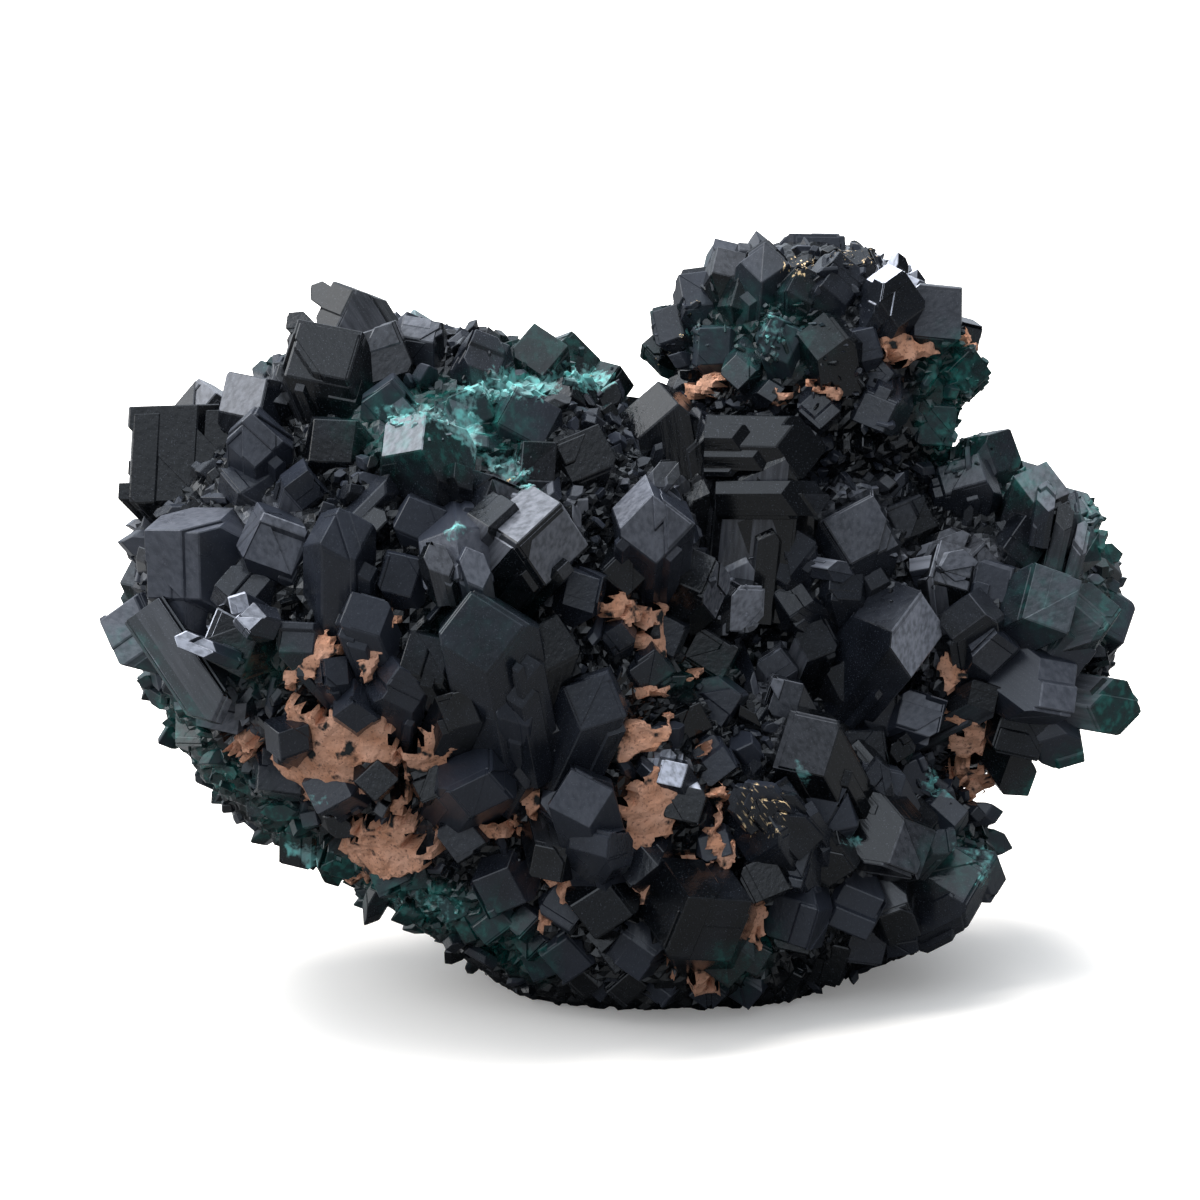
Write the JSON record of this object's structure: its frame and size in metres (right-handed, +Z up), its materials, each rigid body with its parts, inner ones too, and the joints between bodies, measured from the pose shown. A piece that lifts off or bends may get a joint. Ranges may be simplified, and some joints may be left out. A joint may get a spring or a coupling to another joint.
{
  "type": "dioptase specimen",
  "caption": "Free-standing mineral specimen: stout dark green crystals grown together in a lumpy mass, with tan matrix showing between them, flat underneath to stand.",
  "frame": {"origin": "on the flat foot under the specimen, at the level it rests on", "axes": "+Z up, +X to the right and -Y towards the viewer of its front"},
  "size_m": [0.0691, 0.0464, 0.0493],
  "materials": {
    "dioptase": "glassy, near-black green crystal faces with teal edges and fine striations",
    "matrix": "dull, finely grainy tan to orange-pink matrix"
  },
  "bodies": {
    "root": {"dioptase_mass": "dioptase", "matrix_front_middle": "matrix", "matrix_front_lower": "matrix", "matrix_front_left": "matrix", "matrix_right": "matrix", "matrix_knob": "matrix"}
  },
  "joints": []
}
